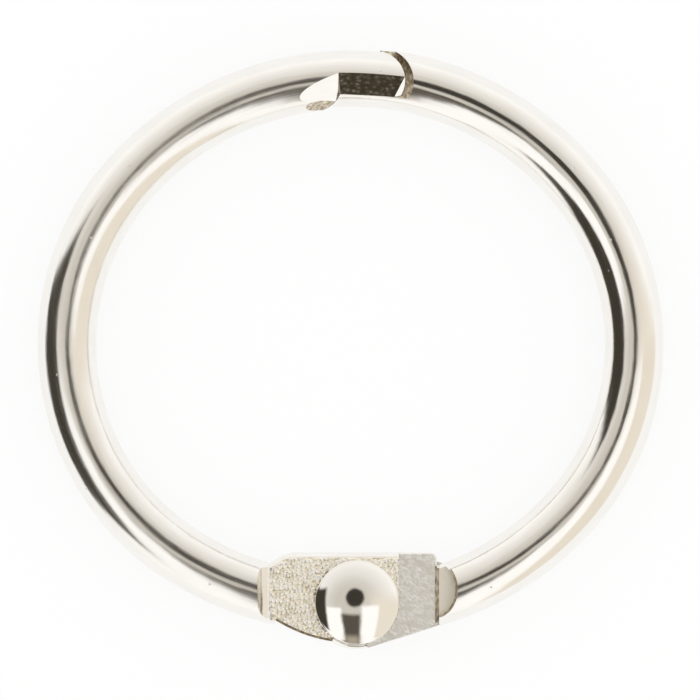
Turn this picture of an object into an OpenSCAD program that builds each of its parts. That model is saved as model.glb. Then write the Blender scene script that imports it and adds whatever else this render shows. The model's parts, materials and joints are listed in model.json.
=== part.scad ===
// Hinged snap ring: two half rings of round wire on a domed rivet, closed by a lapped catch.
// It lies flat with the ring axis on Z, the rivet at -Y and the catch at +Y.

/* [Ring] */
// Inside width of the closed ring
ring_inside_w = 25; // [22:0.5:50]
// Inside height of the ring as a share of its inside width
oval = 0.925; // [0.9:0.005:0.98]
// Diameter of the round wire
wire_d = 2.9; // [2.7:0.1:3.2]

/* [Hinge] */
// Offset of the rivet from the middle line of the ring
rivet_x = 0.3; // [-0.6:0.1:0.6]
// Distance of the rivet inside the middle line of the wire
rivet_in = 0.34; // [0:0.02:0.5]
// Thickness of one pressed leaf
leaf_t = 0.72; // [0.6:0.02:0.9]
// Running gap between the front leaf and the back leaf
leaf_gap = 0.06; // [0.02:0.01:0.12]
// Radius of the rounded leaf end about the rivet
leaf_end_r = 2.2; // [2.1:0.05:2.4]
// Distance from the rivet to the straight inner edge of the leaves
leaf_inner = 2.42; // [2.3:0.02:2.8]
// Rounding of the inner edge on the outer face of a leaf
leaf_edge_r = 0.4; // [0.2:0.05:0.5]
// Distance from the rivet to the lip where the round wire begins
lip_x = 4.87; // [4.6:0.01:5.4]
// Length of the hollow run from the lip to the flat of the leaf
run_in = 0.7; // [0.5:0.05:0.8]
// Width of the sunk strip beside the lip on the block side
strip_w = 0.92; // [0.6:0.02:1.2]
// Height of the sunk strip above the middle of the wire
strip_z = 0.58; // [0.4:0.02:0.7]
// Clearance between a leaf end and the block it closes against
stop_gap = 0.1; // [0.05:0.01:0.2]
// Angle below the cross line where the block is cut away for the swing
swing_relief = 41; // [30:1:50]

/* [Rivet] */
// Diameter of the domed head
head_d = 4.1; // [3.6:0.1:4.3]
// Height of the straight rim of the head
rim_h = 0.3; // [0.2:0.05:0.6]
// Height of the dome over the rim
dome_h = 0.68; // [0.4:0.02:1.2]
// Diameter of the shank
shank_d = 2; // [1.6:0.1:2.4]
// Diameter of the low head at the back
back_head_d = 3.2; // [2.8:0.1:3.6]
// Height of the low head at the back
back_head_h = 0.48; // [0.3:0.02:0.55]
// Radial clearance of the shank in the leaves
rivet_clear = 0.04; // [0.02:0.01:0.1]

/* [Catch] */
// Offset of the catch from the middle line of the ring
catch_x = 0.7; // [-1:0.1:1.5]
// Tilt of the lap face about the wire, towards the outside of the ring
lap_tilt = 35; // [20:1:40]
// Height of the lap face over the middle of the wire
lap_rise = 0.57; // [0.3:0.01:0.7]
// Gap between the two lap faces
lap_gap = 0.1; // [0.06:0.01:0.2]
// Reach of the front tongue along the wire, right of the catch
front_reach = 1.98; // [1.6:0.02:2.4]
// Gap left between the front tongue and the shoulder it faces
front_gap = 0.42; // [0.2:0.02:0.5]
// Start of the back tongue along the wire, left of the catch
back_reach = 1.1; // [0.8:0.05:1.6]
// Gap left between the back tongue and the shoulder it faces
back_gap = 0.16; // [0.1:0.02:0.3]
// Depth of the flat pressed on the front tongue
thumb_depth = 0.22; // [0.1:0.02:0.3]
// Start of the flat along the wire, left of the catch
thumb_start = 1.32; // [0.8:0.02:1.6]
// Turn of the flat towards the inside of the ring
thumb_turn = 22; // [15:1:40]
// Slope of the run up from the flat to the round wire
thumb_slope = 9; // [7:0.5:14]
// Radius of the scoop left where the back shoulder was cut
scoop_r = 4; // [3:0.1:6]
// Depth of that scoop
scoop_depth = 0.14; // [0.08:0.02:0.2]

/* [Hidden] */
$fn = 96;
wire_r = wire_d / 2;
half_w = ring_inside_w / 2 + wire_r;
half_h = ring_inside_w * oval / 2 + wire_r;
side_r = half_h - 0.75 * (half_w - half_h);
side_x = half_w - side_r;
end_r = (side_x * side_x + half_h * half_h - side_r * side_r) / (2 * (half_h - side_r));
end_y = end_r - half_h;
turn = atan2(side_x, end_y);
join = 1;
swell = 0.01;
rivet_y = rivet_in - half_h;
face_z = leaf_t + leaf_gap / 2;
lip_angle = asin(lip_x / end_r);
lip_y = end_r * (1 - cos(lip_angle)) - rivet_in;
chord_y = sqrt(wire_r * wire_r - face_z * face_z) / cos(lip_angle);
edge_low = lip_y - chord_y;
edge_high = lip_y + chord_y;
edge_slope = asin(leaf_end_r / norm([lip_x, edge_low])) + atan2(edge_low, lip_x);
wire_stop = 3;
catch_angle = asin(catch_x / end_r);
nose_r = wire_r + 0.04;
shoulder_r = nose_r + 0.06;
front_nose_s = front_reach - nose_r;
front_shoulder_s = front_reach + front_gap - shoulder_r;
back_nose_s = -back_reach - nose_r;
back_shoulder_s = -back_reach + back_gap - shoulder_r;
scoop_s = -back_reach - 0.95;
scoop_turn = 62;
big = 6;

// Moves to the rivet
module at_rivet() {
  translate([rivet_x, rivet_y, 0]) children();
}

// Moves to the middle of the wire, s along the wire to the right of the catch
module at_wire(s) {
  translate([0, -end_y, 0]) rotate([0, 0, -catch_angle - s / end_r * 180 / PI]) translate([0, end_r, 0]) children();
}

// A bend of round wire about its own centre, angles counted from +X
module bend(centre, radius, from, to, d = wire_d) {
  translate(centre) rotate([0, 0, from]) rotate_extrude(angle = to - from) translate([radius, 0]) circle(d = d);
}

// The left side of the oval, from the hinge to a length past the catch
module left_wire(past) {
  foot = asin((wire_stop - rivet_x) / end_r);
  head = catch_angle + past / end_r * 180 / PI;
  bend([0, end_y, 0], end_r, 270 - turn, 270 - foot);
  bend([-side_x, 0, 0], side_r, 90 + turn - join, 270 - turn + join, wire_d + swell);
  bend([0, -end_y, 0], end_r, 90 - head, 90 + turn);
}

// The right side of the oval, from the hinge to a length past the catch
module right_wire(past) {
  foot = asin((wire_stop + rivet_x) / end_r);
  head = past / end_r * 180 / PI - catch_angle;
  bend([0, end_y, 0], end_r, 270 + foot, 270 + turn);
  bend([side_x, 0, 0], side_r, turn - 90 - join, 90 - turn + join, wire_d + swell);
  bend([0, -end_y, 0], end_r, 90 - turn, 90 + head);
}

// Plan of both pressed ends together, rivet at the middle
module hinge_plan() {
  circle(r = leaf_end_r);
  tx = leaf_end_r * sin(edge_slope);
  ty = -leaf_end_r * cos(edge_slope);
  polygon([
    [-lip_x, edge_high], [-lip_x + 1.5, leaf_inner], [lip_x - 1.5, leaf_inner], [lip_x, edge_high],
    [lip_x, edge_low], [tx, ty], [-tx, ty], [-lip_x, edge_low]
  ]);
}

// Plan of the front leaf: square above the rivet, round below it
module leaf_plan() {
  intersection() {
    hinge_plan();
    union() {
      translate([-2 * big, -big]) square([2 * big, 2 * big]);
      circle(r = leaf_end_r);
      square([leaf_end_r, big]);
    }
  }
}

// Plan of the full thickness block behind the end of the other leaf
module block_plan() {
  hollow_r = leaf_end_r + stop_gap;
  difference() {
    hinge_plan();
    circle(r = hollow_r);
    translate([-hollow_r, 0]) square([2 * big, big]);
    translate([0, -big]) square([2 * big, 2 * big]);
    polygon([[0, 0], [-big * cos(swing_relief), -big * sin(swing_relief)], [0, -2 * big]]);
  }
}

// Section of the leaf along the hinge, its inner edge rounded on the front
module leaf_section() {
  low = leaf_inner - leaf_edge_r;
  translate([-big, -face_z]) square([big + low, 2 * face_z]);
  translate([low - 0.5, -face_z]) square([leaf_edge_r + 0.5, 2 * face_z - leaf_edge_r]);
  translate([low, face_z - leaf_edge_r]) circle(r = leaf_edge_r);
}

// The pressed end of the left half, rivet at the middle
module hinge_end() {
  intersection() {
    union() {
      translate([0, 0, leaf_gap / 2]) linear_extrude(leaf_t) leaf_plan();
      translate([0, 0, -face_z]) linear_extrude(2 * face_z) block_plan();
    }
    rotate([90, 0, 90]) translate([0, 0, -big]) linear_extrude(2 * big) leaf_section();
  }
}

// What the press takes off the round wire at the hinge of the left half, and the hole for the rivet
module hinge_press() {
  front_x = run_in - lip_x;
  translate([front_x, -big, face_z]) cube([big, 2 * big, big]);
  translate([front_x, 0, face_z + run_in]) rotate([90, 0, 0]) cylinder(r = run_in, h = 2 * big, center = true);
  translate([-lip_x, -big, -big - strip_z]) cube([strip_w, 2 * big, big]);
  translate([-lip_x + strip_w, -big, -big - face_z]) cube([big, 2 * big, big]);
  cylinder(d = shank_d + 2 * rivet_clear, h = 2 * big, center = true);
}

// Space to the right of a rounded tongue end, past s
module past_nose(s, r) {
  at_wire(s) difference() {
    translate([0, -big, -big]) cube([big, 2 * big, 2 * big]);
    cylinder(r = r, h = 4 * big, center = true);
  }
}

// Space to the left of a rounded hollow, up to s
module up_to_hollow(s, r) {
  at_wire(s) {
    translate([-big, -big, -big]) cube([big, 2 * big, 2 * big]);
    cylinder(r = r, h = 2 * big, center = true);
  }
}

// Everything in front of the lap face
module over_lap(h) {
  at_wire(0) rotate([-lap_tilt, 0, 0]) translate([-big, -big, h]) cube([2 * big, 2 * big, big]);
}

// Everything behind the lap face
module under_lap(h) {
  at_wire(0) rotate([-lap_tilt, 0, 0]) translate([-big, -big, h - big]) cube([2 * big, 2 * big, big]);
}

// Flat and run-out pressed on the front tongue
module thumb_flat() {
  at_wire(0) rotate([thumb_turn, 0, 0]) translate([-thumb_start, 0, wire_r - thumb_depth]) {
    translate([0, -big / 2, 0]) cube([big, big, big]);
    rotate([0, thumb_slope, 0]) translate([-big, -big / 2, 0]) cube([big, big, big]);
  }
}

module left_half() {
  color("silver") difference() {
    union() {
      left_wire(front_reach + 1);
      at_rivet() hinge_end();
    }
    at_rivet() hinge_press();
    past_nose(front_nose_s, nose_r);
    intersection() {
      past_nose(back_nose_s, nose_r);
      under_lap(lap_rise + lap_gap / 2);
    }
    thumb_flat();
    at_wire(scoop_s) rotate([scoop_turn, 0, 0]) translate([0, 0, wire_r - scoop_depth + scoop_r]) sphere(r = scoop_r);
  }
}

module right_half() {
  color("gainsboro") difference() {
    union() {
      right_wire(back_reach + 1);
      at_rivet() rotate([0, 180, 0]) hinge_end();
    }
    at_rivet() rotate([0, 180, 0]) hinge_press();
    up_to_hollow(back_shoulder_s, shoulder_r);
    intersection() {
      up_to_hollow(front_shoulder_s, shoulder_r);
      over_lap(lap_rise - lap_gap / 2);
    }
  }
}

module rivet() {
  cap_r = (back_head_d * back_head_d / 4 + back_head_h * back_head_h) / (2 * back_head_h);
  dome_r = (head_d * head_d / 4 + dome_h * dome_h) / (2 * dome_h);
  color("whitesmoke") at_rivet() {
    translate([0, 0, -face_z - rivet_clear]) cylinder(d = shank_d, h = 2 * face_z + rivet_clear + rim_h / 2);
    translate([0, 0, face_z]) cylinder(d = head_d, h = rim_h);
    translate([0, 0, face_z + rim_h]) difference() {
      translate([0, 0, dome_h - dome_r]) sphere(r = dome_r);
      translate([-2 * big, -2 * big, -4 * big]) cube([4 * big, 4 * big, 4 * big]);
    }
    translate([0, 0, -face_z - rivet_clear]) difference() {
      translate([0, 0, cap_r - back_head_h]) sphere(r = cap_r);
      translate([-2 * big, -2 * big, 0]) cube([4 * big, 4 * big, 4 * big]);
    }
  }
}

left_half();
right_half();
rivet();
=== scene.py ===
# %% [markdown]
# # A hinged snap ring in bright nickel
# The object is a ring of round steel wire in two halves, plated bright nickel. The ends at the bottom
# are pressed flat and turn on a rivet with a domed head; the ends at the top lap over each other and
# snap shut. A mirror finish shows every facet, so each piece is modelled again here, finer than the
# CAD solids, at the sizes and places that the CAD frame gives.

# %% Load the CAD frame
import json
import math

import bmesh
import bpy
from mathutils import Matrix, Vector


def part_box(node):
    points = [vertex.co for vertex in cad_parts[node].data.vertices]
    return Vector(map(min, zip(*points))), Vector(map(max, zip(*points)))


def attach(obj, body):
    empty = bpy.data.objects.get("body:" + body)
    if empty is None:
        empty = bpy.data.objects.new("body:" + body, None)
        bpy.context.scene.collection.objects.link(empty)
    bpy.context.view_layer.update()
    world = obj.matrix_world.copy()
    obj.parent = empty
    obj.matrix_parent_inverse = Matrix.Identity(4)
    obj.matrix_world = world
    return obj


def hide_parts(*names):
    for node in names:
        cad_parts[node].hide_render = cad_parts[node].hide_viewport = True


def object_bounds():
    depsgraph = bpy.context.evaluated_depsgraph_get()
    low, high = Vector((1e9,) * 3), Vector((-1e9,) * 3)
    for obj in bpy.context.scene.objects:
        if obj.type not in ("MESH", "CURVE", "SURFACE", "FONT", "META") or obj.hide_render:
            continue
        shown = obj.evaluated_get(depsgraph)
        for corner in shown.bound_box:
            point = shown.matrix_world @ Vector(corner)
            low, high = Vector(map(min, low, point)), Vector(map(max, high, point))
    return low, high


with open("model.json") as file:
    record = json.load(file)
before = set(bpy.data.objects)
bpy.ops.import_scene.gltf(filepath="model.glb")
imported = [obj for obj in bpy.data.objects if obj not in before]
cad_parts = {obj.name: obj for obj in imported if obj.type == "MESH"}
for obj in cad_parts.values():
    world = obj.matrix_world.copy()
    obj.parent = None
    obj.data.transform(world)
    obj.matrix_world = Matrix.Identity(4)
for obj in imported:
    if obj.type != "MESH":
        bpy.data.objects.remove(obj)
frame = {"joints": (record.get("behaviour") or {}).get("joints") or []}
cad_low, cad_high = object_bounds()
bpy.ops.object.select_all(action="DESELECT")

# %% [markdown]
# ## Sizes
# Everything is modelled in millimetres, a thousand times life size, because Blender's bevel and
# boolean tools work to fixed tolerances that are too coarse for a hundredth of a millimetre. Each
# finished piece is then scaled to metres. The ring's own sizes come from the boxes of the CAD nodes:
# its oval is drawn with arcs, tighter ones at the sides and wider ones at the ends. In the photograph
# the left half's foot sits a little inside that oval and the right half's head a little outside it.

# %% Read the ring's sizes from the frame
MM = 0.001
left_low, left_high = (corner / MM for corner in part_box("left_half"))
RIVET_AT = Vector(frame["joints"][0]["pos_m"]) / MM
WIRE_R = 1.45
HALF_W = -left_low.x - WIRE_R
HALF_H = left_high.y - WIRE_R
TIGHTER = 0.75
SIDE_R = HALF_H - TIGHTER * (HALF_W - HALF_H)
SIDE_X = HALF_W - SIDE_R
LEFT_FOOT_IN = 0.25
RIGHT_HEAD_OUT = 0.13


def end_arc(reach):
    """Radius, height of the centre and turn of the end arc that meets the side arc and reaches this far."""
    radius = (SIDE_X**2 + reach**2 - SIDE_R**2) / (2 * (reach - SIDE_R))
    return radius, radius - reach, math.atan2(SIDE_X, radius - reach)


FOOT = {-1: end_arc(HALF_H - LEFT_FOOT_IN), 1: end_arc(HALF_H)}
HEAD = {-1: end_arc(HALF_H), 1: end_arc(HALF_H + RIGHT_HEAD_OUT)}
END_R, END_Y = HEAD[-1][:2]
print(f"oval {2 * HALF_W:.2f} x {2 * HALF_H:.2f} mm, side arc {SIDE_R:.2f}, end arc {END_R:.2f}")
print("rivet at", [round(x, 3) for x in RIVET_AT], "mm")


# %% [markdown]
# ## Colours and nodes
# Colours are written as sRGB hex values, as a colour picker shows them, and one function turns them
# to the linear values that a shader wants. Another small function adds a node, sets it and links it.

# %% Two small helpers for materials
def hex_colour(code):
    """Linear RGBA of an sRGB hex code."""
    parts = [int(code[i : i + 2], 16) / 255 for i in (1, 3, 5)]
    return tuple(c / 12.92 if c <= 0.04045 else ((c + 0.055) / 1.055) ** 2.4 for c in parts) + (1.0,)


def add(tree, kind, inputs=None, **settings):
    """Adds a node, sets its properties, and sets or links its inputs."""
    made = tree.nodes.new("ShaderNode" + kind)
    for name, value in settings.items():
        setattr(made, name, value)
    for name, value in (inputs or {}).items():
        if isinstance(value, bpy.types.NodeSocket):
            tree.links.new(value, made.inputs[name])
        else:
            made.inputs[name].default_value = value
    return made


def new_material(name):
    """An empty node material with its Principled shader."""
    made = bpy.data.materials.new(name)
    made.use_nodes = True
    return made, made.node_tree, made.node_tree.nodes["Principled BSDF"]


# %% [markdown]
# ## Bright nickel plate
# The wire was drawn through a die, bent and then plated. Bright nickel is a mirror with a warm grey
# tint. Fine lines from the die run along the wire, the plating waves a little, and a few small pits
# catch the light, so reflections have soft, slightly ragged edges. The left half is a little duller
# than the right one. Both follow the wire by a UV map that holds millimetres along it and round it.
# The lines are drawn coarser than real ones, so that they show.

# %% Nickel on the drawn wire
DIE_LINE_MM = 0.12
DIE_LINE_ALONG = 0.03
WAVE_MM = 0.7
WAVE_ALONG = 0.4
PIT_CELL_MM = 0.6
PIT_DEPTH_MM = 0.012
CELLS_WITHOUT_PIT = 0.66


def drawn_nickel(name, dull, line_mm, wave_mm):
    """Plated drawn wire: dull is its lowest and highest roughness, then the depth of lines and waves."""
    made, tree, shader = new_material(name)
    wire_uv = add(tree, "UVMap", uv_map="wire").outputs["UV"]
    die_scale = (DIE_LINE_ALONG / DIE_LINE_MM, 1 / DIE_LINE_MM, 1.0)
    die_place = add(tree, "Mapping", {"Vector": wire_uv, "Scale": die_scale})
    die_lines = add(tree, "TexNoise", {"Vector": die_place.outputs["Vector"], "Scale": 1.0, "Detail": 3.0})
    wave_scale = (WAVE_ALONG / WAVE_MM, 1 / WAVE_MM, 1.0)
    wave_place = add(tree, "Mapping", {"Vector": wire_uv, "Scale": wave_scale})
    waves = add(tree, "TexNoise", {"Vector": wave_place.outputs["Vector"], "Scale": 1.0, "Detail": 1.5})
    cells = add(tree, "TexVoronoi", {"Vector": wire_uv, "Scale": 1 / PIT_CELL_MM})
    pit = add(tree, "MapRange", {"Value": cells.outputs["Distance"], "From Min": 0.02, "From Max": 0.1})
    bare = add(tree, "Math", {0: cells.outputs["Color"], 1: CELLS_WITHOUT_PIT}, operation="LESS_THAN")
    pits = add(tree, "Math", {0: pit.outputs["Result"], 1: bare.outputs["Value"]}, operation="MAXIMUM")
    layers = (
        (die_lines.outputs["Fac"], line_mm),
        (waves.outputs["Fac"], wave_mm),
        (pits.outputs["Value"], PIT_DEPTH_MM),
    )
    bump = None
    for height, depth in layers:
        under = {"Normal": bump.outputs["Normal"]} if bump else {}
        bump = add(tree, "Bump", {"Height": height, "Distance": depth * MM, **under})
    lines = die_lines.outputs["Fac"]
    dulling = add(
        tree, "MapRange",
        {"Value": lines, "From Min": 0.3, "From Max": 0.7, "To Min": dull[0], "To Max": dull[1]},
    )
    tint = add(tree, "ValToRGB", {"Fac": waves.outputs["Fac"]})
    tint.color_ramp.elements[0].color = hex_colour("#f2efe9")
    tint.color_ramp.elements[1].color = hex_colour("#fbf9f5")
    shader.inputs["Metallic"].default_value = 1.0
    tree.links.new(tint.outputs["Color"], shader.inputs["Base Color"])
    tree.links.new(dulling.outputs["Result"], shader.inputs["Roughness"])
    tree.links.new(bump.outputs["Normal"], shader.inputs["Normal"])
    print("material", name)
    return made


left_nickel = drawn_nickel("bright_nickel_on_left_wire", (0.13, 0.21), 0.004, 0.012)
right_nickel = drawn_nickel("bright_nickel_on_right_wire", (0.08, 0.15), 0.003, 0.01)

# %% [markdown]
# ## Nickel on the pressed faces
# The press left the flat leaf rough: rows of small dints with fine lines across the leaf, and a warm
# cast. The block beside it, struck by the other die, is finer and greyer, and the sunk strip next to
# the block is almost even. The thumb flat of the catch stays nearly a mirror, with faint dints. All are
# plated, so they stay metal; a bump gives the dints and roughness spreads the light. The colour follows
# the dints' height: lighter on their tops as a painted highlight and darker between them as painted
# shade, most strongly on the thumb flat.

# %% Pressed finishes from one recipe, with painted highlight and shade
def pressed_nickel_with_painted_shading(name, turn_deg, row_mm, dint_mm, stray, depth_mm, dark, light, roughness):
    """Plated metal with rows of dints: the turn of the rows, row and dint sizes, their stray and depth; dark
    and light are its painted shade and painted highlight.
    """
    made, tree, shader = new_material(name)
    place = add(tree, "TexCoord").outputs["Object"]
    rows_turn = (0, 0, math.radians(turn_deg))
    turned = add(tree, "Mapping", {"Vector": place, "Rotation": rows_turn, "Scale": (1 / MM,) * 3})
    dint_scale = (1 / dint_mm, 1 / row_mm, 1 / dint_mm)
    dint_place = add(tree, "Mapping", {"Vector": turned.outputs["Vector"], "Scale": dint_scale})
    dint_vector = dint_place.outputs["Vector"]
    dints = add(tree, "TexVoronoi", {"Vector": dint_vector, "Scale": 1.0, "Randomness": stray})
    mound = add(
        tree, "MapRange",
        {"Value": dints.outputs["Distance"], "From Min": 0.1, "From Max": 0.7, "To Min": 1.0, "To Max": 0.0},
    )
    line_scale = (0.3 / dint_mm, 1 / row_mm, 1.0)
    line_place = add(tree, "Mapping", {"Vector": turned.outputs["Vector"], "Scale": line_scale})
    lines = add(tree, "TexNoise", {"Vector": line_place.outputs["Vector"], "Scale": 1.0, "Detail": 4.0})
    height = add(tree, "Math", {0: mound.outputs["Result"], 1: lines.outputs["Fac"]}, operation="ADD")
    bump = add(tree, "Bump", {"Height": height.outputs["Value"], "Distance": depth_mm * MM})
    # The tint below follows the dints' height: painted highlight on their tops, painted shade between them.
    share = add(tree, "Math", {0: mound.outputs["Result"], 1: lines.outputs["Fac"]}, operation="MULTIPLY")
    tint = add(tree, "ValToRGB", {"Fac": share.outputs["Value"]})
    tint.color_ramp.elements[0].position = 0.1
    tint.color_ramp.elements[0].color = hex_colour(dark)
    tint.color_ramp.elements[1].position = 0.5
    tint.color_ramp.elements[1].color = hex_colour(light)
    shader.inputs["Metallic"].default_value = 1.0
    shader.inputs["Roughness"].default_value = roughness
    tree.links.new(tint.outputs["Color"], shader.inputs["Base Color"])
    tree.links.new(bump.outputs["Normal"], shader.inputs["Normal"])
    print("material", name)
    return made


thumb_nickel = pressed_nickel_with_painted_shading(
    "struck_nickel_thumb_flat", turn_deg=8, row_mm=0.16, dint_mm=0.24, stray=1.0, depth_mm=0.006,
    dark="#a59b88", light="#f4efe6", roughness=0.14,
)
leaf_nickel = pressed_nickel_with_painted_shading(
    "pressed_nickel_leaf", turn_deg=-6, row_mm=0.2, dint_mm=0.24, stray=0.55, depth_mm=0.046,
    dark="#fbf2dd", light="#ffffff", roughness=0.28,
)
block_nickel = pressed_nickel_with_painted_shading(
    "pressed_nickel_block", turn_deg=24, row_mm=0.16, dint_mm=0.26, stray=0.8, depth_mm=0.028,
    dark="#faf7f0", light="#ffffff", roughness=0.4,
)
strip_nickel = pressed_nickel_with_painted_shading(
    "pressed_nickel_strip", turn_deg=80, row_mm=0.3, dint_mm=0.5, stray=0.8, depth_mm=0.006,
    dark="#fffaee", light="#fffdf6", roughness=0.6,
)

# %% [markdown]
# ## Sheared steel
# Inside the catch the wire was cut, not polished. The plating hardly reaches there, so the faces are
# rough and brown-grey, with small torn streaks. The outer edge of the front leaf was sheared as well;
# its darker copy of the recipe is painted shade. The plain recipe also lines the walls of the sunk
# strip, its rim and the groove at the hinge, where its brown is painted shade.

# %% Sheared steel, plain and with painted shade
TEARS_PER_MM = (6, 3, 6)
TEAR_DEPTH_MM = 0.06
CUT_ROUGHNESS = 0.38


def sheared_steel(name, dark, light):
    """Torn, hardly plated steel between two tones."""
    made, tree, shader = new_material(name)
    place = add(tree, "TexCoord").outputs["Object"]
    torn_place = add(tree, "Mapping", {"Vector": place, "Scale": tuple(n / MM for n in TEARS_PER_MM)})
    torn = add(tree, "TexNoise", {"Vector": torn_place.outputs["Vector"], "Scale": 1.0, "Detail": 4.0})
    bump = add(tree, "Bump", {"Height": torn.outputs["Fac"], "Distance": TEAR_DEPTH_MM * MM})
    tint = add(tree, "ValToRGB", {"Fac": torn.outputs["Fac"]})
    tint.color_ramp.elements[0].position = 0.35
    tint.color_ramp.elements[0].color = hex_colour(dark)
    tint.color_ramp.elements[1].position = 0.65
    tint.color_ramp.elements[1].color = hex_colour(light)
    shader.inputs["Metallic"].default_value = 1.0
    shader.inputs["Roughness"].default_value = CUT_ROUGHNESS
    tree.links.new(tint.outputs["Color"], shader.inputs["Base Color"])
    tree.links.new(bump.outputs["Normal"], shader.inputs["Normal"])
    print("material", name)
    return made


sheared = sheared_steel("sheared_steel_cut", "#a3967d", "#ebe2d0")
# The darker copy is painted shade on the front leaf's sheared outer edge.
edge_steel_with_painted_shade = sheared_steel("sheared_edge_with_painted_shade", "#5d4f3a", "#a2937a")


# %% [markdown]
# ## Helpers for modelling
# The pieces are made as by hand: a primitive, work in edit mode, then modifiers. These few helpers
# only take away the repeats: choosing what is selected, applying a modifier, and cutting one solid
# with another. The boolean carries the cutter's own material onto the face that it leaves, so a cut
# is finished by the tool that made it.

# %% Edit mode, modifiers and booleans
def active(obj):
    """Makes obj the only selected object and the active one."""
    bpy.ops.object.select_all(action="DESELECT")
    obj.select_set(True)
    bpy.context.view_layer.objects.active = obj
    return obj


def apply_modifier(obj, kind, **settings):
    """Adds a modifier with its settings and applies it."""
    active(obj)
    modifier = obj.modifiers.new(kind, kind)
    for name, value in settings.items():
        setattr(modifier, name, value)
    bpy.ops.object.modifier_apply(modifier=modifier.name)


def boolean(obj, tool, operation):
    """Joins a solid with another or cuts it, and removes the tool."""
    apply_modifier(obj, "BOOLEAN", operation=operation, solver="EXACT", object=tool, material_mode="TRANSFER")
    bpy.data.objects.remove(tool)


def finish_with(obj, material):
    """Gives a new piece its one material."""
    obj.data.materials.clear()
    obj.data.materials.append(material)
    return obj


def pick(obj, faces=None, edges=None):
    """In edit mode, selects the faces or edges that pass a test."""
    mesh = bmesh.from_edit_mesh(obj.data)
    bpy.ops.mesh.select_all(action="DESELECT")
    for part in (mesh.faces if faces else mesh.edges):
        if (faces or edges)(part):
            part.select_set(True)
    bmesh.update_edit_mesh(obj.data)


# %% [markdown]
# ## The bent wire
# On the real ring a machine bends straight wire round formers. Here one circle, the wire's section,
# is spun about the centres of three arcs, one after the other, so the surface is exact along its
# whole length. A curve with a round bevel would look alike, but spinning puts an even ring of points
# wherever it is wanted.

# %% Spin the section round the oval
SECTION_POINTS = 96
STEP_MM = 0.22


def bent_wire(name, side, foot, head, material):
    """Half of the oval. side is -1 for left and 1 for right; foot and head are the angles at its ends."""
    bpy.ops.object.select_all(action="DESELECT")
    foot_r, foot_y, foot_turn = FOOT[side]
    head_r, head_y, head_turn = HEAD[side]
    start = math.radians(270) + side * foot
    section_at = (foot_r * math.cos(start), foot_y + foot_r * math.sin(start), 0)
    bpy.ops.mesh.primitive_circle_add(
        vertices=SECTION_POINTS, radius=WIRE_R, location=section_at, rotation=(math.pi / 2, 0, start)
    )
    wire = bpy.context.object
    wire.name = name
    bpy.ops.object.transform_apply(location=True, rotation=True)
    bends = [
        ((0, foot_y, 0), foot_r, foot_turn - foot),
        ((side * SIDE_X, 0, 0), SIDE_R, math.pi - foot_turn - head_turn),
        ((0, -head_y, 0), head_r, head_turn + head),
    ]
    bpy.ops.object.mode_set(mode="EDIT")
    bpy.ops.mesh.select_all(action="SELECT")
    bpy.ops.mesh.edge_face_add()
    for centre, radius, angle in bends:
        steps = max(2, round(angle * radius / STEP_MM))
        bpy.ops.mesh.spin(steps=steps, angle=-side * angle, center=centre, axis=(0, 0, 1))
    bpy.ops.mesh.select_all(action="SELECT")
    bpy.ops.mesh.remove_doubles(threshold=0.001)
    bpy.ops.mesh.normals_make_consistent(inside=False)
    bpy.ops.object.mode_set(mode="OBJECT")
    print(name, len(wire.data.vertices), "points,", [round(x, 2) for x in wire.dimensions])
    return finish_with(wire, material)


CATCH_X = 0.7
CATCH_ANGLE = math.asin(CATCH_X / END_R)
LEFT_SPARE = 3.0
RIGHT_SPARE = 2.1
WIRE_STOP = 3.7
left_foot = math.asin((WIRE_STOP - RIVET_AT.x) / FOOT[-1][0])
right_foot = math.asin((WIRE_STOP + RIVET_AT.x) / FOOT[1][0])
left_wire = bent_wire("left_half_wire", -1, left_foot, CATCH_ANGLE + LEFT_SPARE / END_R, left_nickel)
right_wire = bent_wire("right_half_wire", 1, right_foot, RIGHT_SPARE / END_R - CATCH_ANGLE, right_nickel)

# %% [markdown]
# ## Plates
# Press and shear work to flat outlines, so the leaves of the hinge and most of the cutters are plates:
# a disc whose points are moved to the outline, pulled up to its thickness. Round stretches are arcs,
# and the rest has only the corners it needs.

# %% Plates from outlines
def arc(radius, start, end, points=48):
    """Points on an arc about the origin, angles in degrees."""
    turns = [math.radians(start + (end - start) * i / (points - 1)) for i in range(points)]
    return [(radius * math.cos(a), radius * math.sin(a)) for a in turns]


def circle(radius, points=64):
    """Points all round a circle about the origin."""
    return arc(radius, 0, 360 * (points - 1) / points, points)


def plate(name, outline, low, high, material):
    """A plate with this outline between two heights."""
    bpy.ops.object.select_all(action="DESELECT")
    bpy.ops.mesh.primitive_circle_add(vertices=len(outline), fill_type="NGON")
    made = bpy.context.object
    made.name = name
    for point, (x, y) in zip(made.data.vertices, outline):
        point.co = (x, y, low)
    bpy.ops.object.mode_set(mode="EDIT")
    bpy.ops.mesh.select_all(action="SELECT")
    bpy.ops.mesh.extrude_region_move(TRANSFORM_OT_translate={"value": (0, 0, high - low)})
    bpy.ops.mesh.select_all(action="SELECT")
    bpy.ops.mesh.normals_make_consistent(inside=False)
    bpy.ops.object.mode_set(mode="OBJECT")
    return finish_with(made, material)


def placed(obj, matrix):
    """Moves a finished tool to its place and leaves its object at the origin."""
    active(obj)
    obj.matrix_world = matrix
    bpy.ops.object.transform_apply(location=True, rotation=True, scale=True)
    return obj


# %% [markdown]
# ## The pressed hinge ends
# Each half ends in a flat leaf with an eye for the rivet, half the thickness of the hinge, and behind
# the end of the other leaf it keeps a full block that the leaf closes against. Both ends are made
# the same way, with the leaf in front, each from its own outline, and the right half gets its end
# turned half a turn about Y.

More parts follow.
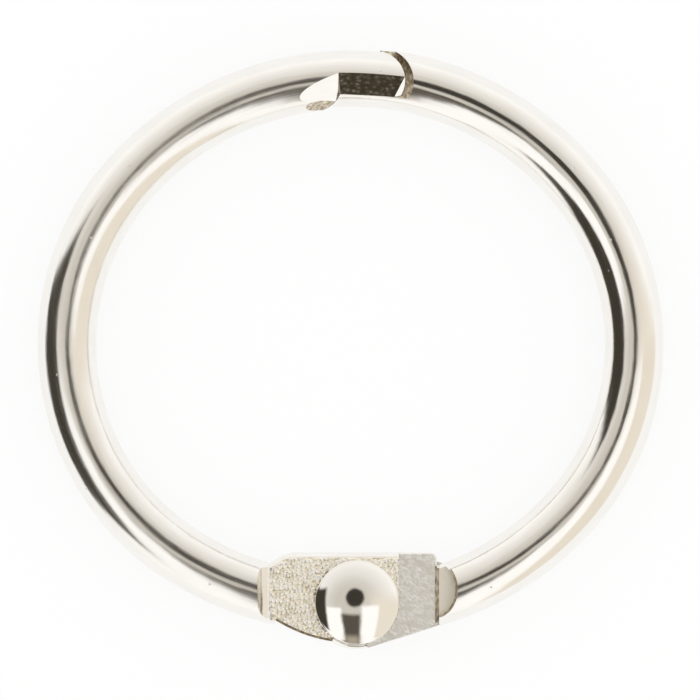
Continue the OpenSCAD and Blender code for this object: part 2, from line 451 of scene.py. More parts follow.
# %% Outlines of leaf and block
FACE_Z = 0.75
LEAF_GAP = 0.06
LIP_X = 4.87
LIP_HIGH = 1.82
LEAF_INNER = 2.45
LEFT_SHOULDER = 3.0
RIGHT_SHOULDER = 2.2
SHOULDER_ROUND = 0.55
SHOULDER_HOLLOW = 0.45
SHOULDER_DIP = 0.02
BLOCK_X = 3.95
BLOCK_CORNER = 0.3
SWING_RELIEF = 41
LEAF_END_TURN = 359
INSET = 0.006


def curve(start, pull, end, points=14):
    """Points on a smooth curve that leaves start and reaches end as if drawn to the point pull."""
    shares = [i / (points - 1) for i in range(points)]
    return [
        tuple((1 - t) ** 2 * a + 2 * t * (1 - t) * b + t**2 * c for a, b, c in zip(start, pull, end))
        for t in shares
    ]


def shoulder(start):
    """The inner edge, from the flat stretch down to the lip, first outwards round and then hollow."""
    middle = (-(start + LIP_X) / 2, (LEAF_INNER + LIP_HIGH) / 2)
    round_part = curve((-start, LEAF_INNER), (-start - SHOULDER_ROUND, LEAF_INNER), middle, 10)
    hollow_pull = (-LIP_X + SHOULDER_HOLLOW, LIP_HIGH - SHOULDER_DIP)
    return round_part + curve(middle, hollow_pull, (-LIP_X, LIP_HIGH), 10)[1:]


def leaf_outline(outer_edge, inner_edge, eye_r, eye_from):
    """Along the outer edge, round the eye, up its straight end and back along the inner edge."""
    end_x = eye_r * math.cos(math.radians(LEAF_END_TURN))
    return outer_edge + arc(eye_r, eye_from, LEAF_END_TURN) + [(end_x, LEAF_INNER)] + inner_edge


def crossing(line, side):
    """Where a line of points goes over to the other side; side(point) is 0 there and changes its sign."""
    a, b = next((a, b) for a, b in zip(line, line[1:]) if side(a) * side(b) <= 0)
    share = side(a) / (side(a) - side(b))
    return a[0] + (b[0] - a[0]) * share, a[1] + (b[1] - a[1]) * share


def past_step(p):
    """How far a point is inside the step at the back of the block."""
    return p[0] + BLOCK_X


def block_outline(outer_edge, inner_edge, hollow_r):
    """Outside the hollow, between the relief for the swing and the step at the strip."""
    relief = math.radians(SWING_RELIEF)

    def past_relief(p):
        return p[1] * math.cos(relief) - p[0] * math.sin(relief)

    low = [p for p in outer_edge if past_step(p) > 0 and past_relief(p) > 0]
    low = [crossing(outer_edge, past_step)] + low + [crossing(outer_edge, past_relief)]
    hollow = arc(hollow_r, 180 + SWING_RELIEF, 180, 40)
    inner = [(x, y - INSET) for x, y in [(-hollow_r, LEAF_INNER)] + inner_edge]
    return [(x, y + INSET) for x, y in low] + hollow + inner


# %% [markdown]
# The left leaf has a bellied outer edge that stops short of the eye, so that the other half's block
# can swing round it. The right leaf runs straight from the lip to its eye. A leaf is a plate whose
# inner edge the press rolled over, bright, and whose outer edge stayed as it was sheared, coloured
# dark with painted shade.

# %% Leaf and block
LEFT_EYE_R = 2.08
LEFT_EYE_FROM = 237
LEFT_LIP_LOW = -0.30
LEFT_BELLY = (-3.03, -1.68)
LEFT_EDGE_END = (-1.2, -1.92)
LEFT_EDGE = curve((-LIP_X, LEFT_LIP_LOW), LEFT_BELLY, LEFT_EDGE_END)
RIGHT_EYE_R = 2.32
RIGHT_LIP_LOW = -0.86
RIGHT_EYE_FROM = 270 - math.degrees(
    math.asin(RIGHT_EYE_R / math.hypot(LIP_X, RIGHT_LIP_LOW)) - math.atan2(-RIGHT_LIP_LOW, LIP_X)
)
right_meet = arc(RIGHT_EYE_R, RIGHT_EYE_FROM, 360, 2)[0]
right_half_way = ((right_meet[0] - LIP_X) / 2, (right_meet[1] + RIGHT_LIP_LOW) / 2)
RIGHT_EDGE = curve((-LIP_X, RIGHT_LIP_LOW), right_half_way, right_meet)[:-1]
INNER_ROLL = 0.4
OUTER_EDGE = 0.2
EYE_EDGE = 0.22
BLOCK_EDGE = 0.1
BLOCK_TOP = 0.3


def soften_edges(obj, test, width, segments):
    """Bevels the edges of a plate that pass a test on their two ends."""
    active(obj)
    bpy.ops.object.mode_set(mode="EDIT")
    pick(obj, edges=lambda e: test(e.verts[0].co, e.verts[1].co))
    bpy.ops.mesh.bevel(offset=width, segments=segments, affect="EDGES", clamp_overlap=False)
    bpy.ops.object.mode_set(mode="OBJECT")


def sort_faces(obj, materials, choose):
    """Gives each face one of the materials; choose says which, from the face's normal and middle."""
    obj.data.materials.clear()
    for material in materials:
        obj.data.materials.append(material)
    for face in obj.data.polygons:
        face.material_index = choose(face.normal, face.center)
    return obj


def hinge_leaf(name, outline, material):
    """The flat leaf in front, its inner edge rolled over by the press."""
    leaf = plate(name, outline, LEAF_GAP / 2, FACE_Z, material)
    flat, rolled, cut, wall = 0, 1, 2, 3

    def runs_at(a, b, z):
        """An edge of the face at this height that does not run straight across the leaf."""
        return max(abs(a.z - z), abs(b.z - z)) < 0.001 and abs(a.x - b.x) > 0.01

    def inner(a, b):
        return runs_at(a, b, FACE_Z) and min(a.y, b.y) > LIP_HIGH - 0.06 and max(a.x, b.x) > 0.1 - LIP_X

    def outer(a, b):
        return runs_at(a, b, FACE_Z) and max(a.y, b.y) < -0.25 and max(a.x, b.x) < -1.1

    def under_eye(a, b):
        return runs_at(a, b, LEAF_GAP / 2) and max(a.y, b.y) < -1.6 and min(a.x, b.x) > -0.55

    def choose(n, at):
        if n.z > 0.95:
            return flat
        if abs(n.z) < 0.06 or n.z < -0.95:
            return wall
        return cut if n.z > 0 and at.y < 0 else rolled

    soften_edges(leaf, inner, INNER_ROLL, 8)
    soften_edges(leaf, outer, OUTER_EDGE, 4)
    soften_edges(leaf, under_eye, EYE_EDGE, 4)
    print(name, len(leaf.data.polygons), "faces")
    # The sheared outer edge takes the darker cut colour, which is painted shade.
    return sort_faces(leaf, (leaf_nickel, material, edge_steel_with_painted_shade, block_nickel), choose)


def hinge_block(name, outline, material):
    """The full block behind the end of the other leaf; its struck face is at the back."""
    block = plate(name, outline, -FACE_Z, BLOCK_TOP, material)
    struck, rolled = 0, 1

    def inner(a, b):
        at_back = max(a.z, b.z) < -FACE_Z + 0.001
        at_inner_side = min(a.y, b.y) > LEAF_INNER - BLOCK_CORNER - 0.01
        return at_back and at_inner_side and max(a.x, b.x) < -2.0 and a.x != b.x

    def choose(n, at):
        return rolled if -0.95 < n.z < -0.06 and at.y > 0 else struck

    soften_edges(block, inner, BLOCK_EDGE, 3)
    print(name, len(block.data.polygons), "faces")
    return sort_faces(block, (block_nickel, material), choose)


# %% [markdown]
# ## Press and strip
# The press flattens the wire up to a lip. In front the flat runs up to the lip in a hollow curve. At
# the back a strip with a half-oval end is sunk into the wire, with a narrow rim round it, and a groove
# parts it from the block. Five cutters do this: a flat and a round in front, a strip, a rim and a
# groove at the back. The rivet's hole is cut last.

# %% Cutters for the hinge end
RUN_IN = 0.7
STRIP_Z = 0.7
STRIP_FROM = 2.5
STRIP_MIDDLE = (-3.85, 0.65)
STRIP_HALF = (1.0, 1.3)
RIM_Z = 1.0
RIM_WIDE = 0.12
GROOVE_W = 0.2
GROOVE_Z = 0.62
GROOVE_ENDS = (-1.0, 1.78)
LEFT_HOLLOW_GAP = 0.08
RIGHT_HOLLOW_GAP = 0.005
HIDE = 0.004
FAR = 6.0
SHANK_R = 1.0
RIVET_CLEAR = 0.04
UPRIGHT = Matrix.Rotation(math.pi / 2, 4, "X")


def bar(x0, x1, y0, y1, z0, z1, name, material):
    """A straight cutter between these sizes."""
    return plate(name, [(x0, y0), (x1, y0), (x1, y1), (x0, y1)], z0, z1, material)


def strip_cutter(name, wider, z, floor):
    """A trough across the wire with a half-oval end towards the lip."""
    (x, y), (wide, high) = STRIP_MIDDLE, STRIP_HALF
    end = [(x + (wide + wider) * c, y + (high + wider) * s) for c, s in arc(1, 90, 270)]
    outline = [(x, FAR), *end, (x, -FAR), (-STRIP_FROM, -FAR), (-STRIP_FROM, FAR)]
    strip = plate(name, outline, -FAR, -z, floor)
    # The walls take the brown sheared steel: painted shade along the lip.
    return sort_faces(strip, (floor, sheared), lambda n, at: 0 if n.z > 0.5 else 1)


def pressed_end(wire, turn, leaf, block, material):
    """Presses the wire's end and joins the leaf and the block to it. turn places the blank."""
    at_rivet = Matrix.Translation(RIVET_AT) @ turn
    front_x = RUN_IN - LIP_X
    flat = bar(front_x, FAR, -FAR, FAR, FACE_Z - HIDE, FAR, "front_flat", leaf_nickel)
    roll = plate("front_roll", circle(RUN_IN), -FAR, FAR, material)
    placed(roll, Matrix.Translation((front_x, 0, FACE_Z - HIDE + RUN_IN)) @ UPRIGHT)
    strip = strip_cutter("strip", 0, STRIP_Z, strip_nickel)
    # The rim's floor is brown sheared steel: a painted shade line round the strip.
    rim = strip_cutter("rim", RIM_WIDE, RIM_Z, sheared)
    for tool in (flat, roll, strip, rim):
        boolean(wire, placed(tool, at_rivet), "DIFFERENCE")
    for solid in (leaf, block):
        boolean(wire, placed(solid, at_rivet), "UNION")
    groove_sides = (-BLOCK_X - GROOVE_W / 2, -BLOCK_X + GROOVE_W / 2)
    # The groove is lined with brown sheared steel: a painted shade line at the foot of the block.
    groove = bar(*groove_sides, *GROOVE_ENDS, -FAR, -GROOVE_Z, "groove", sheared)
    boolean(wire, placed(groove, at_rivet), "DIFFERENCE")
    hole = plate("rivet_hole", circle(SHANK_R + RIVET_CLEAR), -FAR, FAR, material)
    boolean(wire, placed(hole, at_rivet), "DIFFERENCE")
    print(wire.name, "pressed:", len(wire.data.polygons), "faces")


left_shoulder = shoulder(LEFT_SHOULDER)
left_outline = leaf_outline(LEFT_EDGE, left_shoulder, LEFT_EYE_R, LEFT_EYE_FROM)
left_leaf = hinge_leaf("left_leaf", left_outline, left_nickel)
left_inner = [p for p in left_shoulder if past_step(p) > 0] + [crossing(left_shoulder, past_step)]
left_block_outline = block_outline(LEFT_EDGE, left_inner, RIGHT_EYE_R + LEFT_HOLLOW_GAP)
left_block = hinge_block("left_block", left_block_outline, left_nickel)
pressed_end(left_wire, Matrix.Identity(4), left_leaf, left_block, left_nickel)

# %% The right end, with a round corner on its block
right_outline = leaf_outline(RIGHT_EDGE, shoulder(RIGHT_SHOULDER), RIGHT_EYE_R, RIGHT_EYE_FROM)
right_leaf = hinge_leaf("right_leaf", right_outline, right_nickel)
corner_x, corner_y = BLOCK_CORNER - BLOCK_X, LEAF_INNER - BLOCK_CORNER
right_inner = [(corner_x + x, corner_y + y) for x, y in arc(BLOCK_CORNER, 90, 180, 8)]
right_block_outline = block_outline(RIGHT_EDGE, right_inner, LEFT_EYE_R + RIGHT_HOLLOW_GAP)
right_block = hinge_block("right_block", right_block_outline, right_nickel)
pressed_end(right_wire, Matrix.Rotation(math.pi, 4, "Y"), right_leaf, right_block, right_nickel)

# %% [markdown]
# ## The lapped catch
# At the top the left half carries the front tongue, round at its nose, and the right half the back
# tongue under it. A slanting lap face parts them. The cutters are upright plates with a round notch
# or a round end, trimmed by bisect at the lap face where they reach only half way. A last cutter
# trims the back tongue's outer side up to a small beak, so that it stays hidden by the front one.

# %% Cutters for the catch
NOSE_R = 1.46
HOLLOW_R = 1.63
LAP_TILT = math.radians(35)
LAP_RISE = 0.53
LAP_GAP = 0.02
FRONT_REACH = 1.98
FRONT_GAP = 0.42
BACK_REACH = 1.1
BACK_GAP = 0.012
BEAK_AT = 0.62
BEAK_INSET = 0.02
TRIM_WIDE = 2


def on_wire(s):
    """Place on the middle of the wire, s millimetres to the right of the catch."""
    turn = Matrix.Rotation(-CATCH_ANGLE - s / END_R, 4, "Z")
    return Matrix.Translation((0, -END_Y, 0)) @ turn @ Matrix.Translation((0, END_R, 0))


def past_nose(s, name):
    """Upright space to the right of a round nose."""
    nose = [(0, NOSE_R), *arc(NOSE_R, 90, -90)[1:-1], (0, -NOSE_R)]
    outline = [(0, FAR), *nose, (0, -FAR), (FAR, -FAR), (FAR, FAR)]
    return placed(plate(name, outline, -FAR, FAR, sheared), on_wire(s))


def up_to_hollow(s, name):
    """Upright space to the left of a hollow shoulder."""
    outline = [(0, -FAR), *arc(HOLLOW_R, -90, 90), (0, FAR), (-FAR, FAR), (-FAR, -FAR)]
    return placed(plate(name, outline, -FAR, FAR, sheared), on_wire(s))


def trim_at_lap(tool, height, keep_over):
    """Keeps the part of a cutter over or under the lap face."""
    normal = Matrix.Rotation(-CATCH_ANGLE, 3, "Z") @ Vector((0, math.sin(LAP_TILT), math.cos(LAP_TILT)))
    middle = on_wire(0).translation + normal * height
    active(tool)
    bpy.ops.object.mode_set(mode="EDIT")
    bpy.ops.mesh.select_all(action="SELECT")
    bpy.ops.mesh.bisect(
        plane_co=middle, plane_no=normal, use_fill=True, clear_inner=keep_over, clear_outer=not keep_over
    )
    bpy.ops.mesh.select_all(action="SELECT")
    bpy.ops.mesh.normals_make_consistent(inside=False)
    bpy.ops.object.mode_set(mode="OBJECT")
    return tool


boolean(left_wire, past_nose(FRONT_REACH - NOSE_R, "front_nose"), "DIFFERENCE")
back_nose = past_nose(-BACK_REACH - NOSE_R, "back_nose")
boolean(left_wire, trim_at_lap(back_nose, LAP_RISE + LAP_GAP / 2, False), "DIFFERENCE")
boolean(right_wire, up_to_hollow(-BACK_REACH + BACK_GAP - HOLLOW_R, "back_hollow"), "DIFFERENCE")
front_hollow = up_to_hollow(FRONT_REACH + FRONT_GAP - HOLLOW_R, "front_hollow")
boolean(right_wire, trim_at_lap(front_hollow, LAP_RISE - LAP_GAP / 2, True), "DIFFERENCE")
outline_r = END_R + WIRE_R - BEAK_INSET
beak = [math.degrees(math.pi / 2 - CATCH_ANGLE - s / END_R) for s in (BEAK_AT, -FAR)]
trim = arc(outline_r, *beak) + arc(outline_r + TRIM_WIDE, *beak[::-1])
tongue_side = plate("tongue_side", trim, -FAR, FAR, right_nickel)
boolean(right_wire, placed(tongue_side, Matrix.Translation((0, -END_Y, 0))), "DIFFERENCE")
print("catch cut:", len(left_wire.data.polygons), "and", len(right_wire.data.polygons), "faces")

# %% [markdown]
# ## The thumb flat
# The front tongue has a struck flat for a fingernail. A sloped bar makes the run-up from the round
# wire to it, and a third bar takes a small facet off the nose. A ball leaves a shallow scoop on the
# inner side, where the tongue was cut free; it stays rough.

# %% Flat, run-up and facet
BAR_WIDE = 3
THUMB_DEPTH = 0.125
THUMB_START = 1.3
THUMB_TURN = math.radians(11.5)
RAMP_TURN = math.radians(27)
RAMP_DEPTH = 0.331
RAMP_SLOPE = math.radians(11.5)
RAMP_LAP = 0.02
FACET_AT = (2.3, 12.43, 1.254)
FACET_WAY = math.radians(-54)
FACET_TILT = math.radians(22.5)
flat_start = Matrix.Translation((-THUMB_START, 0, WIRE_R - THUMB_DEPTH))
on_flat = on_wire(0) @ Matrix.Rotation(THUMB_TURN, 4, "X") @ flat_start
flat = bar(0, FAR, -BAR_WIDE, BAR_WIDE, 0, BAR_WIDE, "thumb_flat", thumb_nickel)
boolean(left_wire, placed(flat, on_flat), "DIFFERENCE")
ramp_end = Matrix.Translation((0, 0, WIRE_R - RAMP_DEPTH)) @ Matrix.Rotation(RAMP_SLOPE, 4, "Y")
on_ramp = on_wire(-THUMB_START) @ Matrix.Rotation(RAMP_TURN, 4, "X") @ ramp_end
ramp = bar(-FAR, RAMP_LAP, -BAR_WIDE, BAR_WIDE, 0, BAR_WIDE, "thumb_ramp", left_nickel)
boolean(left_wire, placed(ramp, on_ramp), "DIFFERENCE")
facet_turn = Matrix.Rotation(FACET_WAY, 4, "Z") @ Matrix.Rotation(FACET_TILT, 4, "Y")
facet = bar(-BAR_WIDE, BAR_WIDE, -BAR_WIDE, BAR_WIDE, 0, BAR_WIDE, "nose_facet", left_nickel)
boolean(left_wire, placed(facet, Matrix.Translation(FACET_AT) @ facet_turn), "DIFFERENCE")
print("flat, run-up and facet cut:", len(left_wire.data.polygons), "faces")

# %% Scoop
SCOOP_R = 4.0
SCOOP_DEPTH = 0.15
SCOOP_TURN = math.radians(57)
SCOOP_BACK = 0.65
bpy.ops.object.select_all(action="DESELECT")
bpy.ops.mesh.primitive_uv_sphere_add(segments=96, ring_count=64, radius=SCOOP_R)
scoop = finish_with(bpy.context.object, sheared)
scoop_place = (
    on_wire(-BACK_REACH - SCOOP_BACK) @ Matrix.Rotation(SCOOP_TURN, 4, "X")
    @ Matrix.Translation((0, 0, WIRE_R - SCOOP_DEPTH + SCOOP_R))
)
boolean(left_wire, placed(scoop, scoop_place), "DIFFERENCE")
print("scoop cut:", len(left_wire.data.polygons), "faces")


# %% [markdown]
# ## Wire coordinates
# The drawn lines need to know which way the wire runs. For each corner of each face the length along
# the oval and the length round the section are worked out from the same three arcs and stored as a
# UV map. The same sums give the exact normal of the round wire, so its mirrored lines stay clean, and
# each large flat cut gets its own flat normal.

# %% Millimetres along and round the wire
FLAT_AREA = 0.1
NEAR_ROUND = 0.004
NEAR_NORMAL = 0.985


def wire_place(p, side):
    """Of a point: its length along the oval, its distance outside the middle line, and the way out."""
    foot_r, foot_y, foot_turn = FOOT[side]
    head_r, head_y, head_turn = HEAD[side]
    foot = math.atan2(side * p.x, foot_y - p.y)
    head = math.atan2(side * p.x, p.y + head_y)
    if p.y < 0 and foot < foot_turn:
        along, centre, radius = foot_r * foot, Vector((0, foot_y, 0)), foot_r
    elif p.y > 0 and head < head_turn:
        side_len = SIDE_R * (math.pi - foot_turn - head_turn)
        along = foot_r * foot_turn + side_len + head_r * (head_turn - head)
        centre, radius = Vector((0, -head_y, 0)), head_r
    else:
        centre, radius = Vector((side * SIDE_X, 0, 0)), SIDE_R
        along = foot_r * foot_turn + SIDE_R * (math.atan2(p.y, side * p.x - SIDE_X) + math.pi / 2 - foot_turn)
    off = Vector((p.x, p.y, 0)) - centre
    return along, off.length - radius, off.normalized()


def lay_along_wire(obj, side):
    """Stores the UV map, and gives the round wire exact normals and large flat faces their own."""
    mesh = obj.data
    uv = mesh.uv_layers.new(name="wire")
    normals = [corner.vector.copy() for corner in mesh.corner_normals]
    for face in mesh.polygons:
        first = None
        exact = []
        for corner, point in zip(face.loop_indices, face.vertices):
            p = mesh.vertices[point].co
            along, out, way = wire_place(p, side)
            round_it = math.atan2(out, p.z)
            if first is not None:
                round_it += 2 * math.pi * round((first - round_it) / (2 * math.pi))
            first = round_it if first is None else first
            uv.data[corner].uv = (along, round_it * WIRE_R)
            if abs(math.hypot(out, p.z) - WIRE_R) < NEAR_ROUND:
                exact.append((way * out + Vector((0, 0, p.z))).normalized())
        is_round = len(exact) == len(face.vertices)
        if is_round and all(n.dot(face.normal) > NEAR_NORMAL for n in exact):
            for corner, normal in zip(face.loop_indices, exact):
                normals[corner] = normal
        elif face.area > FLAT_AREA:
            for corner in face.loop_indices:
                normals[corner] = face.normal.copy()
    mesh.normals_split_custom_set(normals)


# %% [markdown]
# ## The rivet
# The rivet is turned and then headed: a low dome with a thin rim in front, a plain shank, and a low
# head at the back. The dome is nearly flat on top and falls faster to its edge, as its reflections
# show, so it is drawn by its slope at each radius. The profile is spun once round the shank. The head
# sits a few degrees askew, as the riveting left it.

# %% Nickel on the rivet
PEELS_PER_MM = 1.4
PEEL_DEPTH_MM = 0.004
rivet_nickel, tree, shader = new_material("bright_nickel_on_rivet")
place = add(tree, "TexCoord").outputs["Object"]
peel = add(tree, "TexNoise", {"Vector": place, "Scale": PEELS_PER_MM / MM, "Detail": 2.0})
peel_bump = add(tree, "Bump", {"Height": peel.outputs["Fac"], "Distance": PEEL_DEPTH_MM * MM})
shader.inputs["Base Color"].default_value = hex_colour("#f8f6f1")
shader.inputs["Metallic"].default_value = 1.0
shader.inputs["Roughness"].default_value = 0.06
tree.links.new(peel_bump.outputs["Normal"], shader.inputs["Normal"])
print("material", rivet_nickel.name)

# %% Spin the rivet's profile
HEAD_R = 2.06
RIM_H = 0.38
TOP_SLOPE = 10.88
EDGE_SLOPE = 1.693
DOME_STEPS = 40
RIVET_STEPS = 160
RIM_EDGE = 0.07
BACK_R = 1.6
BACK_H = 0.46
HEAD_LIFT = 0.02
HEAD_LEAN_EAST = math.radians(3.9)
HEAD_LEAN_NORTH = math.radians(1.7)


def dome_slope(r):
    """Slope of the dome at a radius: nearly flat on top and steeper to the edge."""
    return math.radians(TOP_SLOPE * r + EDGE_SLOPE * r**3)


def rivet_profile():
    """Half section of the rivet as (radius, height), from the dome's top to the back head's middle."""
    edge = FACE_Z + RIM_H
    half = dome_slope(HEAD_R - RIM_EDGE)
    step = (HEAD_R - RIM_EDGE) / DOME_STEPS
    dome = [(HEAD_R - RIM_EDGE, edge)]
    for i in range(DOME_STEPS - 1, -1, -1):
        dome.insert(0, (i * step, dome[0][1] + step * math.tan(dome_slope((i + 0.5) * step))))
    corner = [
        (HEAD_R - RIM_EDGE + RIM_EDGE * math.sin(a), edge - RIM_EDGE + RIM_EDGE * math.cos(a))
        for a in (half + (math.pi / 2 - half) * i / 6 for i in range(1, 7))
    ]
    back_z = -FACE_Z - RIVET_CLEAR
    shank = [(HEAD_R, FACE_Z), (SHANK_R, FACE_Z), (SHANK_R, back_z), (BACK_R, back_z)]
    back_r = (BACK_R**2 + BACK_H**2) / (2 * BACK_H)
    back_turns = [math.asin(BACK_R / back_r) * i / 16 for i in range(15, -1, -1)]
    foot = back_z - BACK_H
    back = [(back_r * math.sin(a), foot + back_r * (1 - math.cos(a))) for a in back_turns]
    return dome + corner + shank + back


profile = rivet_profile()
bpy.ops.object.select_all(action="DESELECT")
bpy.ops.mesh.primitive_circle_add(vertices=len(profile))
rivet = bpy.context.object
rivet.name = "domed_rivet"
for point, (r, z) in zip(rivet.data.vertices, profile):
    point.co = (r, 0, z)
bpy.ops.object.mode_set(mode="EDIT")
pick(rivet, edges=lambda e: max(v.co.x for v in e.verts) < 1e-6)
bpy.ops.mesh.delete(type="EDGE")
bpy.ops.mesh.select_all(action="SELECT")
bpy.ops.mesh.spin(steps=RIVET_STEPS, angle=2 * math.pi, center=(0, 0, 0), axis=(0, 0, 1))
bpy.ops.mesh.select_all(action="SELECT")
bpy.ops.mesh.remove_doubles(threshold=0.0005)
bpy.ops.mesh.normals_make_consistent(inside=False)
bpy.ops.object.mode_set(mode="OBJECT")
turn = Matrix.Rotation(HEAD_LEAN_EAST, 4, "Y") @ Matrix.Rotation(-HEAD_LEAN_NORTH, 4, "X")
lean = Matrix.Translation((0, 0, FACE_Z + HEAD_LIFT)) @ turn @ Matrix.Translation((0, 0, -FACE_Z))
for point in rivet.data.vertices:
    under_head = point.co.z > FACE_Z - 0.001 and point.co.xy.length > SHANK_R + 0.001
    if under_head or point.co.z > FACE_Z + 0.01:
        point.co = lean @ point.co
finish_with(rivet, rivet_nickel)
placed(rivet, Matrix.Translation(RIVET_AT))
print(rivet.name, len(rivet.data.polygons), "faces")

# %% [markdown]
# ## Finish the pieces
# Each piece is shaded smooth except over its edges, scaled to metres, and tied to the CAD body that
# carries it.

# %% Shade, scale and ride
def finish_piece(obj, body, node):
    """Scales a piece to metres, hides its CAD node and ties it to its body."""
    active(obj)
    obj.scale = (MM, MM, MM)
    bpy.ops.object.transform_apply(scale=True)
    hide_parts(node)
    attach(obj, body)
    print(obj.name, "rides", body, len(obj.data.polygons), "faces")


SHARP = math.radians(32)
for piece in (left_wire, right_wire, rivet):
    active(piece)
    bpy.ops.object.mode_set(mode="EDIT")
    bpy.ops.mesh.select_all(action="SELECT")
    bpy.ops.mesh.remove_doubles(threshold=0.002)
    bpy.ops.object.mode_set(mode="OBJECT")
    bpy.ops.object.shade_smooth_by_angle(angle=SHARP)
lay_along_wire(left_wire, -1)
lay_along_wire(right_wire, 1)
finish_piece(left_wire, "fixed_half", "left_half")
finish_piece(right_wire, "swing_half", "right_half")
finish_piece(rivet, "fixed_half", "rivet")

# %% [markdown]
# ## Floor
# The ring lies on white paper. The floor shows white to the camera and to reflections, and a part of
# it stays a matt surface, so that it keeps the soft shadow of the ring.

# %% White floor
SHADOW_SHARE = 0.18
bpy.ops.object.select_all(action="DESELECT")
bpy.ops.mesh.primitive_plane_add(size=3, location=(0, 0, cad_low.z))
floor = bpy.context.object
floor.name = "white_floor"
paper, tree, shader = new_material("white_paper")
tree.nodes.remove(shader)
matt = add(tree, "BsdfDiffuse", {"Color": hex_colour("#ffffff")})
glow = add(tree, "Emission", {"Color": hex_colour("#ffffff"), "Strength": 1.0})
both = add(tree, "MixShader", {"Fac": SHADOW_SHARE, 1: glow.outputs["Emission"], 2: matt.outputs["BSDF"]})
tree.links.new(both.outputs["Shader"], tree.nodes["Material Output"].inputs["Surface"])
finish_with(floor, paper)
print("floor at", round(cad_low.z / MM, 2), "mm")

# %% [markdown]
# ## Light tent
# Bright metal is lit by what it mirrors. The ring lies in a white tent: a cream wall on the right, a
# dark opening on the left, two bright panels on the near side, and a dark port overhead with a dark
# stand below it that is lighter at its foot. The world draws the tent by direction: each patch is a
# soft-edged field of angles east and north of straight up. Camera rays and the floor see plain white.

# %% Directions in the tent
world = bpy.data.worlds.new("light_tent")
bpy.context.scene.world = world
world.use_nodes = True
tree = world.node_tree
background = tree.nodes["Background"]
aim = add(tree, "SeparateXYZ", {"Vector": add(tree, "TexCoord").outputs["Generated"]})
tilt = add(tree, "Math", {0: aim.outputs["Z"]}, operation="ARCCOSINE")
tilt_deg = add(tree, "Math", {0: tilt.outputs["Value"]}, operation="DEGREES")
flat_aim = add(tree, "CombineXYZ", {"X": aim.outputs["X"], "Y": aim.outputs["Y"]})
level = add(tree, "VectorMath", {0: flat_aim.outputs["Vector"]}, operation="NORMALIZE")
field_size = {0: level.outputs["Vector"], "Scale": tilt_deg.outputs["Value"]}
field = add(tree, "VectorMath", field_size, operation="SCALE")
angles = add(tree, "SeparateXYZ", {"Vector": field.outputs["Vector"]})


def fade(value, middle, half, soft):
    """1 inside middle +- half, 0 outside, with a soft border, all in degrees."""
    off = add(tree, "Math", {0: value, 1: middle}, operation="SUBTRACT")
    size = add(tree, "Math", {0: off.outputs["Value"]}, operation="ABSOLUTE")
    start, end = half - soft, half + soft
    edge = add(
        tree, "MapRange",
        {"Value": size.outputs["Value"], "From Min": start, "From Max": end, "To Min": 1.0, "To Max": 0.0},
        interpolation_type="SMOOTHSTEP",
    )
    return edge.outputs["Result"]


def lay(under, colour, east, north, soft):
    """Lays a soft patch over the tent so far; east and north are (from, to) in degrees."""
    across = fade(angles.outputs["X"], (east[0] + east[1]) / 2, (east[1] - east[0]) / 2, soft)
    up = fade(angles.outputs["Y"], (north[0] + north[1]) / 2, (north[1] - north[0]) / 2, soft)
    share = add(tree, "Math", {0: across, 1: up}, operation="MULTIPLY")
    return add(tree, "Mix", {0: share.outputs["Value"], 6: under, 7: colour}, data_type="RGBA").outputs[2]


def grey(level, warm=0.0):
    """A linear grey of this brightness, warmer with more warm."""
    return (level, level * (1 - 0.4 * warm), level * (1 - warm), 1.0)


print("tent directions:", len(tree.nodes), "nodes")

# %% The tent as a world
CREAM_WALL = grey(0.86, 0.2)
DARK_OPENING = grey(0.05, 0.35)
BRIGHT_PANEL = grey(1.08, 0.02)
DARK_STAND = grey(0.1, 0.3)
STAND_FOOT = grey(0.42, 0.3)
DARK_PORT = grey(0.045, 0.25)
PORT_AT = (4.5, 7.5, 0.0)
PORT_DARK_TO = 8.5
PORT_ENDS = 12.5
height = add(tree, "Math", {0: tilt_deg.outputs["Value"], 1: 90.0}, operation="DIVIDE")
dome = add(tree, "ValToRGB", {"Fac": height.outputs["Value"]})
dome.color_ramp.elements[0].position = 20 / 90
dome.color_ramp.elements[0].color = grey(0.64, 0.14)
dome.color_ramp.elements[1].position = 80 / 90
dome.color_ramp.elements[1].color = grey(1.05, 0.02)
for degrees, colour in ((31, grey(0.72, 0.1)), (42, grey(0.83, 0.08)), (62, grey(0.94, 0.06))):
    dome.color_ramp.elements.new(degrees / 90).color = colour
tent = dome.outputs["Color"]
tent = lay(tent, CREAM_WALL, (22, 120), (-120, 10), 14)
tent = lay(tent, DARK_OPENING, (-100, -39), (-50, 24), 4)
tent = lay(tent, BRIGHT_PANEL, (-38, -12.5), (-90, -4.5), 2.5)
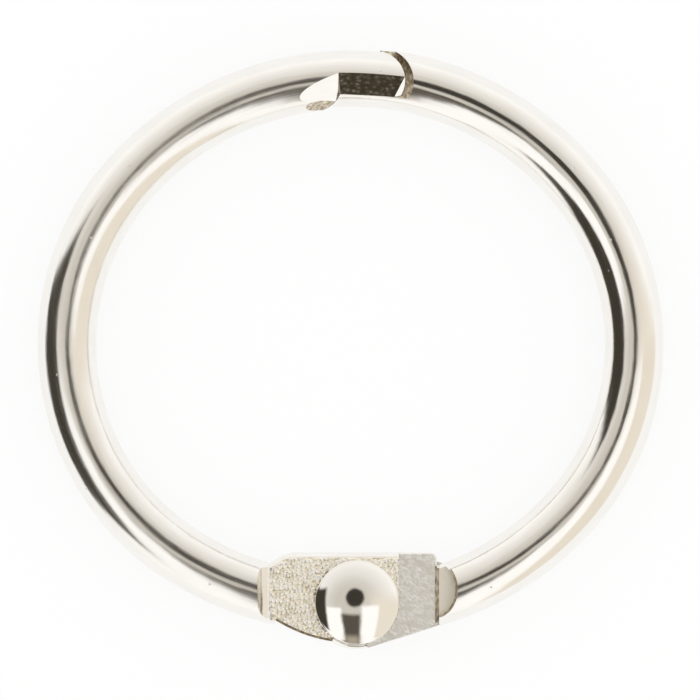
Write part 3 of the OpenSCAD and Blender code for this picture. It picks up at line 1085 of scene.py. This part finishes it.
tent = lay(tent, BRIGHT_PANEL, (12, 35), (-90, -2), 2.5)
tent = lay(tent, DARK_STAND, (-12.5, 11), (-70, -12), 3)
tent = lay(tent, STAND_FOOT, (-12.5, 11), (-70, -50), 9)
port = add(tree, "VectorMath", {0: field.outputs["Vector"], 1: PORT_AT}, operation="DISTANCE")
off_port = port.outputs["Value"]
port_share = add(
    tree, "MapRange",
    {"Value": off_port, "From Min": PORT_DARK_TO, "From Max": PORT_ENDS, "To Min": 1.0, "To Max": 0.0},
    interpolation_type="SMOOTHSTEP",
)
port_mix = {0: port_share.outputs["Result"], 6: tent, 7: DARK_PORT}
tent = add(tree, "Mix", port_mix, data_type="RGBA").outputs[2]
seen = add(tree, "LightPath")
plain_rays = {0: seen.outputs["Is Camera Ray"], 1: seen.outputs["Is Diffuse Ray"]}
plain = add(tree, "Math", plain_rays, operation="MAXIMUM")
tent = add(tree, "Mix", {0: plain.outputs["Value"], 6: tent, 7: grey(1.0)}, data_type="RGBA").outputs[2]
tree.links.new(tent, background.inputs["Color"])
background.inputs["Strength"].default_value = 1.0
print("world nodes", len(tree.nodes))

# %% [markdown]
# ## Camera
# The photograph looks straight down at the ring with a long lens. The lens follows from the scale of
# the picture, and the small offsets put the ring's middle where the photograph has it.

# %% Camera straight down
IMAGE_PX = 700
PX_PER_MM = 20.33
RING_MIDDLE_PX = (350.5, 344.4)
CAMERA_MM = 600
off_x = (IMAGE_PX / 2 - RING_MIDDLE_PX[0]) / PX_PER_MM
off_y = (RING_MIDDLE_PX[1] - IMAGE_PX / 2) / PX_PER_MM
bpy.ops.object.camera_add(location=(off_x * MM, off_y * MM, CAMERA_MM * MM), rotation=(0, 0, 0))
camera = bpy.context.object
camera.data.sensor_width = 36
camera.data.lens = camera.data.sensor_width * CAMERA_MM * PX_PER_MM / IMAGE_PX
camera.data.clip_end = 10
bpy.context.scene.camera = camera
bpy.context.scene.view_settings.view_transform = "Standard"
print("camera", CAMERA_MM, "mm above, lens", round(camera.data.lens), "mm")
